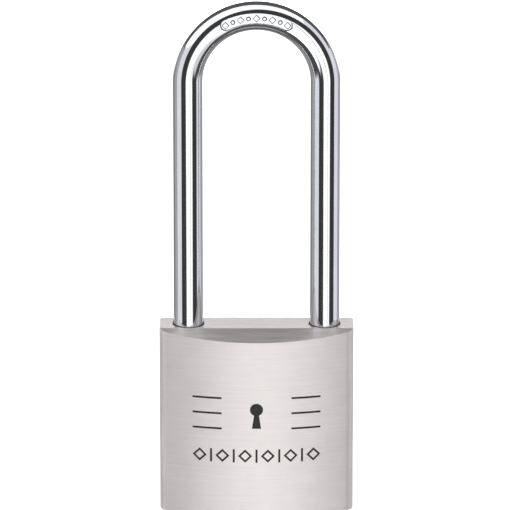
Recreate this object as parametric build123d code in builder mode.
from build123d import *

import os
from math import acos, cos, degrees, radians, sin, sqrt, tan

# A small padlock: a solid aluminium body, a long steel shackle locked on both legs by balls, and a
# five-pin brass cylinder.
#
# Millimetres, +Z up, the front towards -Y. The origin is the middle of the face the lock stands on.
# The lock is drawn closed with the plug turned to its open position, so that the shackle is free to lift.
# Turning the plug by -90 degrees brings it to its locked position, with the balls out in the notches.

# ---------------------------------------------------------------- driving dimensions

# Body
body_width = 40.0
body_height = 39.5
body_depth = 17.0          # at the middle, between the two bowed faces
side_depth = 8.5           # at the narrow sides
corner_radius = 2.5
top_land = 6.6             # depth of the flat strip on top
top_facet_angle = 17.0
bottom_land = 10.8         # depth of the flat strip underneath
bottom_facet_angle = 15.0

# Shackle
bar_diameter = 6.0
clear_width = 22.1         # between the legs
clear_height = 62.8        # from the top of the body to the inside of the bow
shackle_lift = 16.0
toe_grip = 4.0             # steel below the toe leg's notch
collar_length = 3.0        # full round below the heel leg's neck
leg_chamfer = 0.6
panel_width = 2.4          # pill-shaped panel stamped into the front of the bow
panel_half_angle = 26.0    # from the top of the bow to the middle of one round end
panel_depth = 0.45

# Balls and cam
ball_diameter = 7.0
ball_height = 31.5         # centre of the balls above the base
engagement = 1.35          # how far a locked ball stands in its notch
heel_hold = 0.7            # how far the heel ball still stands in its leg when open
cam_height = 6.9
cam_flange_height = 1.0
cam_spindle_radius = 3.2
tang_end_wall = 0.3        # between the tang's end and the floor of the clip's groove
tang_width = 2.0
tang_depth = 1.4

# Cylinder
plug_radius = 4.8
plug_head_lip = 0.6        # how far the plug's head stands out all round
plug_head_height = 1.2
shell_radius = 6.2
shell_bottom = 0.3
shell_top = 20.2
bible_end = 16.5           # how far the pin housing reaches towards the toe side
bible_width = 5.0
bible_corner = 0.8
clip_thickness = 0.5
clip_lip = 0.5             # how far the clip stands out from the plug
clip_groove_depth = 0.7
clip_gap_angle = 70.0
plug_tail = 1.5            # plug above the clip's underside
keyway_width = 1.8
keyway_low_wall = 0.9      # from the keyway to the plug's edge, away from the pins
keyway_high_wall = 1.4
ward_width = 0.7
ward_length = 1.6

# Pins and springs
first_pin_height = 3.7
pin_pitch = 3.2
pin_diameter = 2.4
pin_chamfer = 0.25
key_pin_lengths = (4.6, 3.8, 5.2, 4.2, 5.0)
key_pin_point = 0.7
key_pin_travel = 0.8
driver_length = 3.6
cover_thickness = 0.8
cover_width = 3.4
pin_spring_wire = 0.3
pin_spring_turns = 8
shackle_spring_wire = 0.8
shackle_spring_turns = 5

# Screw and plug in the body
screw_diameter = 3.0
screw_bite = 1.8           # how deep the screw stands in the cylinder shell
screw_socket = 1.5         # across the flats
screw_socket_depth = 1.6
cross_plug_wall = 0.5      # between the toe leg's bore and the plug of the balls' bore

# Clearances
leg_clearance = 0.15       # leg in its bore, radial
mouth_chamfer = 0.3        # where a leg's bore opens
shell_clearance = 0.1      # cylinder shell in the body, all round
plug_clearance = 0.06      # plug in its shell, radial
plug_end_play = 0.08
pin_clearance = 0.1        # pin in its chamber, radial
shear_gap = 0.1            # between a pin's end and the edge of the plug
ball_clearance = 0.15      # ball in its bore and in a notch
ball_leg_gap = 0.1         # between an open ball and the leg that slides past it
cam_ball_gap = 0.12
cam_chamber_clearance = 0.3
cam_end_play = 0.12
tang_clearance = 0.05
floor_gap = 0.4            # below a leg's end
spring_end_gap = 0.06
neck_gap = 0.08

# ---------------------------------------------------------------- worked-out places

half_width = body_width / 2
half_depth = body_depth / 2
bar_radius = bar_diameter / 2
leg_x = clear_width / 2 + bar_radius
bow_center_z = body_height + clear_height - clear_width / 2
leg_bore_radius = bar_radius + leg_clearance

ball_radius = ball_diameter / 2
leg_face_x = leg_x - bar_radius
locked_ball_x = leg_face_x + engagement - ball_radius
toe_ball_x = leg_face_x - ball_leg_gap - ball_radius
heel_ball_x = leg_face_x + heel_hold - ball_radius
cross_bore_radius = ball_radius + ball_clearance
notch_half_height = sqrt(cross_bore_radius**2 - (leg_face_x - locked_ball_x) ** 2)

toe_end = ball_height - notch_half_height - toe_grip
toe_floor = toe_end - floor_gap
cross_plug_start = leg_x + leg_bore_radius + cross_plug_wall
neck_height = ball_height - shackle_lift
collar_top = neck_height - notch_half_height
heel_end = collar_top - collar_length
heel_floor = shell_bottom + 2.0
neck_radius = leg_x - (locked_ball_x + ball_radius) - neck_gap

cam_radius = locked_ball_x - ball_radius - cam_ball_gap
cam_chamber_radius = cam_radius + cam_chamber_clearance
cam_chamber_top = ball_height + cross_bore_radius
cam_top = cam_chamber_top - cam_end_play
cam_bottom = shell_top + 2 * plug_end_play + plug_tail
pocket_top = shell_top + shell_clearance

pin_radius = pin_diameter / 2
chamber_radius = pin_radius + pin_clearance
pin_heights = [first_pin_height + n * pin_pitch for n in range(len(key_pin_lengths))]
shell_bore_radius = plug_radius + plug_clearance
plug_head_radius = plug_radius + plug_head_lip
clip_radius = plug_radius + clip_lip
clip_groove_radius = plug_radius - clip_groove_depth
tang_length = 2 * (clip_groove_radius - tang_end_wall)
keyway_low = keyway_low_wall - plug_radius
keyway_high = plug_radius - keyway_high_wall
pin_end_reach = sqrt(plug_radius**2 - (pin_radius - pin_chamfer) ** 2)
driver_start = shell_bore_radius + shear_gap
driver_end = driver_start + driver_length
chamber_end = bible_end - cover_thickness
key_pin_chamber_floor = pin_end_reach - max(key_pin_lengths) - key_pin_travel - shear_gap

os.makedirs("parts", exist_ok=True)


def save(piece, name):
    """Label a finished piece and write it as its own STEP file."""
    piece.label = name
    export_step(piece, f"parts/{name}.step")
    print(f"{name}: {piece.volume:.1f} mm3, {len(piece.solids())} solid(s)")


# ---------------------------------------------------------------- body

# The outer form, before anything is drilled: the lens-shaped plan carried up, then trimmed along its
# width to an end profile with the flat lands and the sloping facets.
facet_reach = half_depth + corner_radius
top_drop = (facet_reach - top_land / 2) * tan(radians(top_facet_angle))
bottom_rise = (facet_reach - bottom_land / 2) * tan(radians(bottom_facet_angle))

with BuildPart() as body_form:
    with BuildSketch() as plan:
        with BuildLine():
            ThreePointArc((-half_width, -side_depth / 2), (0, -half_depth), (half_width, -side_depth / 2))
            Line((half_width, -side_depth / 2), (half_width, side_depth / 2))
            ThreePointArc((half_width, side_depth / 2), (0, half_depth), (-half_width, side_depth / 2))
            Line((-half_width, side_depth / 2), (-half_width, -side_depth / 2))
        make_face()
        fillet(plan.vertices(), corner_radius)
    extrude(amount=body_height)
    with BuildSketch(Plane.YZ.offset(-half_width)):
        with BuildLine():
            Polyline(
                (0, 0),
                (bottom_land / 2, 0),
                (facet_reach, bottom_rise),
                (facet_reach, body_height - top_drop),
                (top_land / 2, body_height),
                (0, body_height),
            )
            mirror(about=Plane.YZ)
        make_face()
    extrude(amount=body_width, mode=Mode.INTERSECT)


def shell_outline(gap):
    """The cylinder shell seen from below: a round barrel with the pin housing beside it, grown by a gap."""
    with BuildSketch() as outline:
        Circle(shell_radius + gap)
        with Locations(((bible_end + gap) / 2, 0)):
            Rectangle(bible_end + gap, bible_width + 2 * gap)
        fillet(outline.vertices().group_by(Axis.X)[-1], bible_corner + gap)
    return outline.sketch


with BuildPart() as body:
    add(body_form.part)
    # Bores for the two legs, each with a small chamfer where it opens.
    for x, floor in ((-leg_x, heel_floor), (leg_x, toe_floor)):
        with BuildSketch(Plane.XY.offset(floor)):
            with Locations((x, 0)):
                Circle(leg_bore_radius)
        extrude(amount=body_height - floor, mode=Mode.SUBTRACT)
        with BuildSketch(Plane.XY.offset(body_height - mouth_chamfer)):
            with Locations((x, 0)):
                Circle(leg_bore_radius)
        extrude(amount=2 * mouth_chamfer, taper=-45, mode=Mode.SUBTRACT)
    # Pocket for the cylinder, and the round chamber above it in which the cam turns.
    with BuildSketch():
        add(shell_outline(shell_clearance))
    extrude(amount=pocket_top, mode=Mode.SUBTRACT)
    with BuildSketch(Plane.XY.offset(pocket_top)):
        Circle(cam_chamber_radius)
    extrude(amount=cam_chamber_top - pocket_top, mode=Mode.SUBTRACT)
    # Bore for the balls, drilled from the toe side through to the middle of the heel leg's bore.
    with BuildSketch(Plane.YZ.offset(-leg_x)):
        with Locations((0, ball_height)):
            Circle(cross_bore_radius)
    extrude(amount=leg_x + half_width, mode=Mode.SUBTRACT)
    # Hole for the cylinder screw, from the floor of the toe bore down into the cylinder's pocket.
    with BuildSketch(Plane.XY.offset(pocket_top)):
        with Locations((leg_x, 0)):
            Circle(screw_diameter / 2)
    extrude(amount=toe_floor - pocket_top, mode=Mode.SUBTRACT)
save(body.part, "body")

# The plug that closes the balls' bore is dressed flush with the side of the body.
with BuildPart() as cross_bore_plug:
    with BuildSketch(Plane.YZ.offset(cross_plug_start)):
        with Locations((0, ball_height)):
            Circle(cross_bore_radius)
    extrude(amount=half_width - cross_plug_start)
    add(body_form.part, mode=Mode.INTERSECT)
save(cross_bore_plug.part, "cross_bore_plug")

# ---------------------------------------------------------------- shackle

with BuildPart() as shackle:
    with BuildLine(Plane.XZ):
        Line((-leg_x, heel_end), (-leg_x, bow_center_z))
        ThreePointArc((-leg_x, bow_center_z), (0, bow_center_z + leg_x), (leg_x, bow_center_z))
        Line((leg_x, bow_center_z), (leg_x, toe_end))
    with BuildSketch(Plane.XY.offset(heel_end)):
        with Locations((-leg_x, 0)):
            Circle(bar_radius)
    sweep()
    chamfer(shackle.edges().group_by(Axis.Z)[0], leg_chamfer)
    toe_rim = shackle.edges().filter_by(GeomType.CIRCLE).sort_by_distance((leg_x, 0, toe_end))[0]
    chamfer(toe_rim, leg_chamfer)
    # A notch in the inner side of each leg, as round as the balls' bore.
    for side in (-1, 1):
        with BuildSketch(Plane.XZ.offset(-bar_diameter)):
            with Locations((side * locked_ball_x, ball_height)):
                Circle(cross_bore_radius)
        extrude(amount=2 * bar_diameter, mode=Mode.SUBTRACT)
    # The heel leg's neck, in which the leg can turn round the ball when it is lifted.
    with BuildSketch(Plane.XY.offset(collar_top)):
        with Locations((-leg_x, 0)):
            Circle(bar_diameter)
            Circle(neck_radius, mode=Mode.SUBTRACT)
    extrude(amount=2 * notch_half_height, mode=Mode.SUBTRACT)
    # The flat from the neck up to the notch, along which the heel ball runs while the shackle lifts.
    with BuildSketch(Plane.XZ.offset(-bar_diameter)):
        flat_x = -(leg_face_x + heel_hold + ball_leg_gap)
        with Locations((flat_x, collar_top)):
            Rectangle(bar_diameter, ball_height - collar_top, align=(Align.MIN, Align.MIN))
    extrude(amount=2 * bar_diameter, mode=Mode.SUBTRACT)
    # The stamped panel on the front of the bow: a pill bent along the bar's own curve.
    with BuildSketch(Plane.XZ.offset(bar_radius - panel_depth)):
        start = radians(90 + panel_half_angle)
        end = radians(90 - panel_half_angle)
        with BuildLine() as panel_line:
            ThreePointArc(
                (leg_x * cos(start), bow_center_z + leg_x * sin(start)),
                (0, bow_center_z + leg_x),
                (leg_x * cos(end), bow_center_z + leg_x * sin(end)),
            )
        SlotArc(panel_line.edge(), panel_width)
    extrude(amount=bar_radius, mode=Mode.SUBTRACT)
save(shackle.part, "shackle")

# ---------------------------------------------------------------- balls and cam

for name, x in (("latch_ball_toe", toe_ball_x), ("latch_ball_heel", -heel_ball_x)):
    with BuildPart() as ball:
        with Locations((x, 0, ball_height)):
            Sphere(ball_radius)
    save(ball.part, name)


def on_cam(radius, angle):
    """A point of the cam's outline, from its radius and its angle round the axis."""
    return (radius * cos(radians(angle)), radius * sin(radians(angle)))


def scoop(open_x, toward):
    """One ball's side of the cam: a round seat for the open ball, then a rise over a quarter turn."""
    reach = ball_radius + cam_ball_gap
    seat = open_x - reach
    wall = degrees(acos((open_x**2 + cam_radius**2 - reach**2) / (2 * open_x * cam_radius)))
    middle = (
        open_x * cos(radians(toward)) - reach * cos(radians(toward + wall / 2)),
        open_x * sin(radians(toward)) - reach * sin(radians(toward + wall / 2)),
    )
    ThreePointArc(on_cam(cam_radius, toward - wall), middle, on_cam(seat, toward))
    ThreePointArc(
        on_cam(seat, toward),
        on_cam((seat + cam_radius) / 2, toward + 45),
        on_cam(cam_radius, toward + 90),
    )
    return wall


with BuildPart() as cam:
    with BuildSketch(Plane.XY.offset(cam_top - cam_height)):
        with BuildLine():
            toe_wall = scoop(toe_ball_x, 0)
            heel_wall = scoop(heel_ball_x, 180)
            for after, wall in ((90, heel_wall), (270, toe_wall)):
                dwell_end = after + 90 - wall
                ThreePointArc(
                    on_cam(cam_radius, after),
                    on_cam(cam_radius, (after + dwell_end) / 2),
                    on_cam(cam_radius, dwell_end),
                )
        make_face()
    extrude(amount=cam_height)
    with BuildSketch(Plane.XY.offset(cam_bottom)):
        Circle(cam_spindle_radius)
    extrude(amount=cam_top - cam_height - cam_bottom)
    with BuildSketch(Plane.XY.offset(cam_bottom)):
        Circle(plug_radius)
    extrude(amount=cam_flange_height)
    with BuildSketch(Plane.XY.offset(cam_bottom - tang_depth)):
        Rectangle(tang_length, tang_width)
    extrude(amount=tang_depth)
save(cam.part, "cam")

# ---------------------------------------------------------------- cylinder

with BuildPart() as cylinder_shell:
    with BuildSketch(Plane.XY.offset(shell_bottom)):
        add(shell_outline(0))
    extrude(amount=shell_top - shell_bottom)
    with BuildSketch(Plane.XY.offset(shell_bottom)):
        Circle(shell_bore_radius)
    extrude(amount=shell_top - shell_bottom, mode=Mode.SUBTRACT)
    with BuildSketch(Plane.XY.offset(shell_bottom)):
        Circle(plug_head_radius + plug_clearance)
    extrude(amount=plug_head_height + plug_end_play, mode=Mode.SUBTRACT)
    # Pin chambers, drilled in from the end of the housing.
    with BuildSketch(Plane.YZ):
        with Locations([(0, height) for height in pin_heights]):
            Circle(chamber_radius)
    extrude(amount=chamber_end, mode=Mode.SUBTRACT)
    # Seat for the strip that closes them.
    cover_bottom = pin_heights[0] - cover_width / 2
    cover_top = pin_heights[-1] + cover_width / 2
    with BuildSketch(Plane.YZ.offset(chamber_end)):
        with Locations((0, cover_bottom)):
            Rectangle(cover_width, cover_top - cover_bottom, align=(Align.CENTER, Align.MIN))
    extrude(amount=cover_thickness, mode=Mode.SUBTRACT)
    # Dimple that takes the screw.
    with BuildSketch(Plane.XY.offset(shell_top - screw_bite - shell_clearance)):
        with Locations((leg_x, 0)):
            Circle(screw_diameter / 2 + shell_clearance)
    extrude(amount=screw_bite + shell_clearance, mode=Mode.SUBTRACT)
save(cylinder_shell.part, "cylinder_shell")

with BuildPart() as spring_cover:
    with BuildSketch(Plane.YZ.offset(chamber_end)):
        with Locations((0, cover_bottom)):
            Rectangle(cover_width, cover_top - cover_bottom, align=(Align.CENTER, Align.MIN))
    extrude(amount=cover_thickness)
save(spring_cover.part, "spring_cover")

screw_bottom = shell_top - screw_bite
with BuildPart() as cylinder_screw:
    with BuildSketch(Plane.XY.offset(screw_bottom)):
        with Locations((leg_x, 0)):
            Circle(screw_diameter / 2)
    extrude(amount=toe_floor - screw_bottom)
    with BuildSketch(Plane.XY.offset(toe_floor - screw_socket_depth)):
        with Locations((leg_x, 0)):
            RegularPolygon(screw_socket / 2, 6, major_radius=False)
    extrude(amount=screw_socket_depth, mode=Mode.SUBTRACT)
    chamfer(cylinder_screw.edges().group_by(Axis.Z)[0], screw_diameter / 10)
save(cylinder_screw.part, "cylinder_screw")

# The plug, turned to its open position, so its pin chambers look towards +Y.
clip_bottom = shell_top + plug_end_play
plug_top = clip_bottom + plug_tail
with BuildPart() as plug:
    with BuildSketch(Plane.XY.offset(shell_bottom)):
        Circle(plug_radius)
    extrude(amount=plug_top - shell_bottom)
    with BuildSketch(Plane.XY.offset(shell_bottom)):
        Circle(plug_head_radius)
    extrude(amount=plug_head_height)
    # Groove for the clip.
    with BuildSketch(Plane.XY.offset(clip_bottom)):
        Circle(plug_head_radius)
        Circle(clip_groove_radius, mode=Mode.SUBTRACT)
    extrude(amount=clip_thickness + plug_end_play, mode=Mode.SUBTRACT)
    # Slot for the cam's tang.
    with BuildSketch(Plane.XY.offset(plug_top - tang_depth)):
        Rectangle(2 * plug_radius, tang_width + 2 * tang_clearance)
    extrude(amount=tang_depth, mode=Mode.SUBTRACT)
    # Keyway with one ward, open at the bottom and shut at the top.
    keyway_top = pin_heights[-1] + pin_diameter
    with BuildSketch(Plane.XY.offset(shell_bottom)):
        with Locations((0, keyway_low)):
            Rectangle(keyway_width, keyway_high - keyway_low, align=(Align.CENTER, Align.MIN))
        with Locations((keyway_width / 2, (keyway_low + keyway_high) / 2)):
            Rectangle(2 * ward_width, ward_length)
    extrude(amount=keyway_top - shell_bottom, mode=Mode.SUBTRACT)
    # Pin chambers.
    with BuildSketch(Plane.XZ.offset(-plug_radius)):
        with Locations([(0, height) for height in pin_heights]):
            Circle(chamber_radius)
    extrude(amount=plug_radius - key_pin_chamber_floor, mode=Mode.SUBTRACT)
save(plug.part, "plug")

with BuildPart() as plug_clip:
    with BuildSketch(Plane.XY.offset(clip_bottom)):
        Circle(clip_radius)
        Circle(clip_groove_radius + tang_clearance, mode=Mode.SUBTRACT)
        half_gap = clip_radius * tan(radians(clip_gap_angle / 2))
        with BuildLine():
            Polyline((0, 0), (clip_radius, -half_gap), (clip_radius, half_gap), close=True)
        make_face(mode=Mode.SUBTRACT)
    extrude(amount=clip_thickness)
save(plug_clip.part, "plug_clip")

# ---------------------------------------------------------------- pins and springs


def coil(name, start, direction, length, radius, wire, turns):
    """A compression spring of round wire that starts at a point and runs along a direction."""
    with BuildPart() as spring:
        with BuildLine() as path:
            Helix(pitch=(length - wire) / turns, height=length - wire, radius=radius, center=start,
                  direction=direction)
        with BuildSketch(Plane(origin=path.line @ 0, z_dir=path.line % 0)):
            Circle(wire / 2)
        sweep(is_frenet=True)
    save(spring.part, name)


pin_spring_start = driver_end + spring_end_gap + pin_spring_wire / 2
pin_spring_length = chamber_end - driver_end - 2 * spring_end_gap
for number, (height, length) in enumerate(zip(pin_heights, key_pin_lengths), start=1):
    # A key pin stands in the turned plug, with its point towards the keyway.
    with BuildPart() as key_pin:
        with BuildSketch(Plane.XZ.offset(-pin_end_reach)):
            with Locations((0, height)):
                Circle(pin_radius)
        extrude(amount=length)
        chamfer(key_pin.edges().group_by(Axis.Y)[0], length=key_pin_point, length2=pin_radius - pin_chamfer)
        chamfer(key_pin.edges().group_by(Axis.Y)[-1], pin_chamfer)
    save(key_pin.part, f"key_pin_{number}")

    # Its driver waits in the shell, at the edge of the plug.
    with BuildPart() as driver_pin:
        with BuildSketch(Plane.YZ.offset(driver_start)):
            with Locations((0, height)):
                Circle(pin_radius)
        extrude(amount=driver_length)
        chamfer(driver_pin.edges().filter_by(GeomType.CIRCLE), pin_chamfer)
    save(driver_pin.part, f"driver_pin_{number}")

    coil(f"pin_spring_{number}", (pin_spring_start, 0, height), (1, 0, 0), pin_spring_length,
         pin_radius - pin_spring_wire / 2, pin_spring_wire, pin_spring_turns)

shackle_spring_length = heel_end - heel_floor - 2 * spring_end_gap
shackle_spring_start = (-leg_x, 0, heel_floor + spring_end_gap + shackle_spring_wire / 2)
coil("shackle_spring", shackle_spring_start, (0, 0, 1), shackle_spring_length,
     bar_radius - shackle_spring_wire, shackle_spring_wire, shackle_spring_turns)
